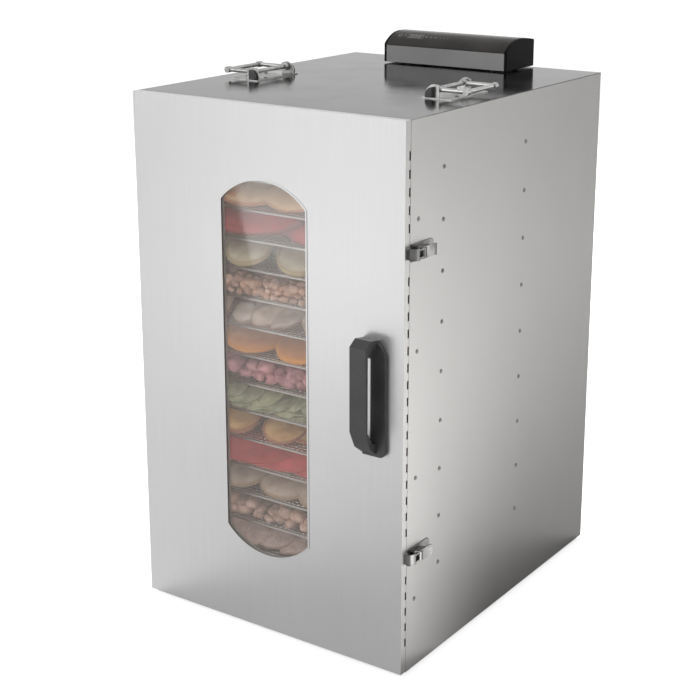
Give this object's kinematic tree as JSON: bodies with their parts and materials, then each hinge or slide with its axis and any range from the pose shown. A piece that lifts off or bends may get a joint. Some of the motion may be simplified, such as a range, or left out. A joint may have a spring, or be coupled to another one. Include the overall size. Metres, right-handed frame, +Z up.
{
  "type": "food dehydrator",
  "caption": "Tall stainless cabinet food dehydrator with stacked mesh trays, a windowed hinged door, toggle latches, rear fans and a control box on top.",
  "frame": {"origin": "on the floor under the middle of the whole object", "axes": "-Y is the door side, +X the latch side, +Z up"},
  "size_m": [0.4485, 0.5556, 0.7755],
  "materials": {
    "door_sheet": "vertical brushed stainless",
    "cabinet_sheet": "brushed stainless",
    "top_sheet": "polished stainless",
    "inner_sheet": "satin stainless",
    "tray_wire": "electropolished wire",
    "bright_steel": "bright pressed steel",
    "screw_steel": "zinc plated",
    "trim_chrome": "polished",
    "fan_metal": "satin",
    "motor_metal": "satin",
    "heater_metal": "oxidised",
    "black_plastic": "fine texture",
    "gloss_black": "gloss",
    "control_silver": "satin silver",
    "circuit_board": "solder mask",
    "rubber_black": "matte",
    "gasket_rubber": "matte",
    "glass_clear": "clear"
  },
  "bodies": {
    "cabinet": {"base_pan": "cabinet_sheet", "side_panel_left": "cabinet_sheet", "side_panel_right": "cabinet_sheet", "top_panel": "top_sheet", "rear_panel": "cabinet_sheet", "front_frame": "inner_sheet", "rack_left": "inner_sheet", "rack_right": "inner_sheet", "fan_wall": "inner_sheet", "feet": "rubber_black", "casing_screws": "screw_steel", "fan_guards": "tray_wire", "heaters": "heater_metal", "motors": "motor_metal", "temperature_probe": "bright_steel", "power_inlet": "black_plastic", "control_housing": "black_plastic", "control_front_plate": "control_silver", "control_end_caps": "black_plastic", "touch_panel": "gloss_black", "control_board": "circuit_board", "carry_plates": "bright_steel", "carry_blocks": "black_plastic", "latch_bases": "trim_chrome", "latch_pins": "trim_chrome", "hinge_leaves_cabinet": "bright_steel", "hinge_pins": "bright_steel", "tray_01": "tray_wire", "tray_02": "tray_wire", "tray_03": "tray_wire", "tray_04": "tray_wire", "tray_05": "tray_wire", "tray_06": "tray_wire", "tray_07": "tray_wire", "tray_08": "tray_wire", "tray_09": "tray_wire", "tray_10": "tray_wire", "tray_11": "tray_wire", "tray_12": "tray_wire", "tray_13": "tray_wire", "tray_14": "tray_wire", "tray_15": "tray_wire", "tray_16": "tray_wire"},
    "door": {"door_panel": "door_sheet", "window_glass": "glass_clear", "window_gasket": "gasket_rubber", "window_retainer": "inner_sheet", "door_handle": "black_plastic", "handle_screws": "screw_steel", "hinge_leaves_door": "bright_steel", "latch_keepers": "trim_chrome"},
    "fan_upper": {"fan_upper": "fan_metal"},
    "fan_lower": {"fan_lower": "fan_metal"},
    "rocker": {"power_rocker": "gloss_black"},
    "bail_left": {"carry_bail_left": "bright_steel"},
    "bail_right": {"carry_bail_right": "bright_steel"},
    "lever_upper": {"latch_lever_upper": "trim_chrome"},
    "lever_lower": {"latch_lever_lower": "trim_chrome"},
    "claw_upper": {"latch_claw_upper": "trim_chrome"},
    "claw_lower": {"latch_claw_lower": "trim_chrome"}
  },
  "joints": [
    {"name": "door_swing", "type": "hinge", "parent": "cabinet", "child": "door", "pos_m": [-0.2182, -0.23875, 0.365], "axis": [0, 0, -1], "range_deg": [0, 170]},
    {"name": "fan_upper_spin", "type": "hinge", "parent": "cabinet", "child": "fan_upper", "pos_m": [0, 0.197, 0.5345], "axis": [0, 1, 0], "continuous": true},
    {"name": "fan_lower_spin", "type": "hinge", "parent": "cabinet", "child": "fan_lower", "pos_m": [0, 0.197, 0.2005], "axis": [0, 1, 0], "continuous": true},
    {"name": "rocker_tip", "type": "hinge", "parent": "cabinet", "child": "rocker", "pos_m": [-0.12, 0.267, 0.102], "axis": [1, 0, 0], "range_deg": [-16, 0]},
    {"name": "bail_left_lift", "type": "hinge", "parent": "cabinet", "child": "bail_left", "pos_m": [-0.148, -0.04, 0.741], "axis": [0, 1, 0], "range_deg": [0, 90]},
    {"name": "bail_right_lift", "type": "hinge", "parent": "cabinet", "child": "bail_right", "pos_m": [0.148, -0.04, 0.741], "axis": [0, -1, 0], "range_deg": [0, 90]},
    {"name": "lever_upper_open", "type": "hinge", "parent": "cabinet", "child": "lever_upper", "pos_m": [0.2195, -0.229, 0.567], "axis": [0, 0, -1], "range_deg": [0, 100]},
    {"name": "claw_upper_turn", "type": "hinge", "parent": "lever_upper", "child": "claw_upper", "pos_m": [0.2235, -0.221, 0.567], "axis": [0, 0, -1], "range_deg": [-110, 0]},
    {"name": "lever_lower_open", "type": "hinge", "parent": "cabinet", "child": "lever_lower", "pos_m": [0.2195, -0.229, 0.167], "axis": [0, 0, -1], "range_deg": [0, 100]},
    {"name": "claw_lower_turn", "type": "hinge", "parent": "lever_lower", "child": "claw_lower", "pos_m": [0.2235, -0.221, 0.167], "axis": [0, 0, -1], "range_deg": [-110, 0]}
  ],
  "couplings": [
    {"joint": "claw_upper_turn", "follows": "lever_upper_open", "ratio": -1.1},
    {"joint": "claw_lower_turn", "follows": "lever_lower_open", "ratio": -1.1}
  ]
}
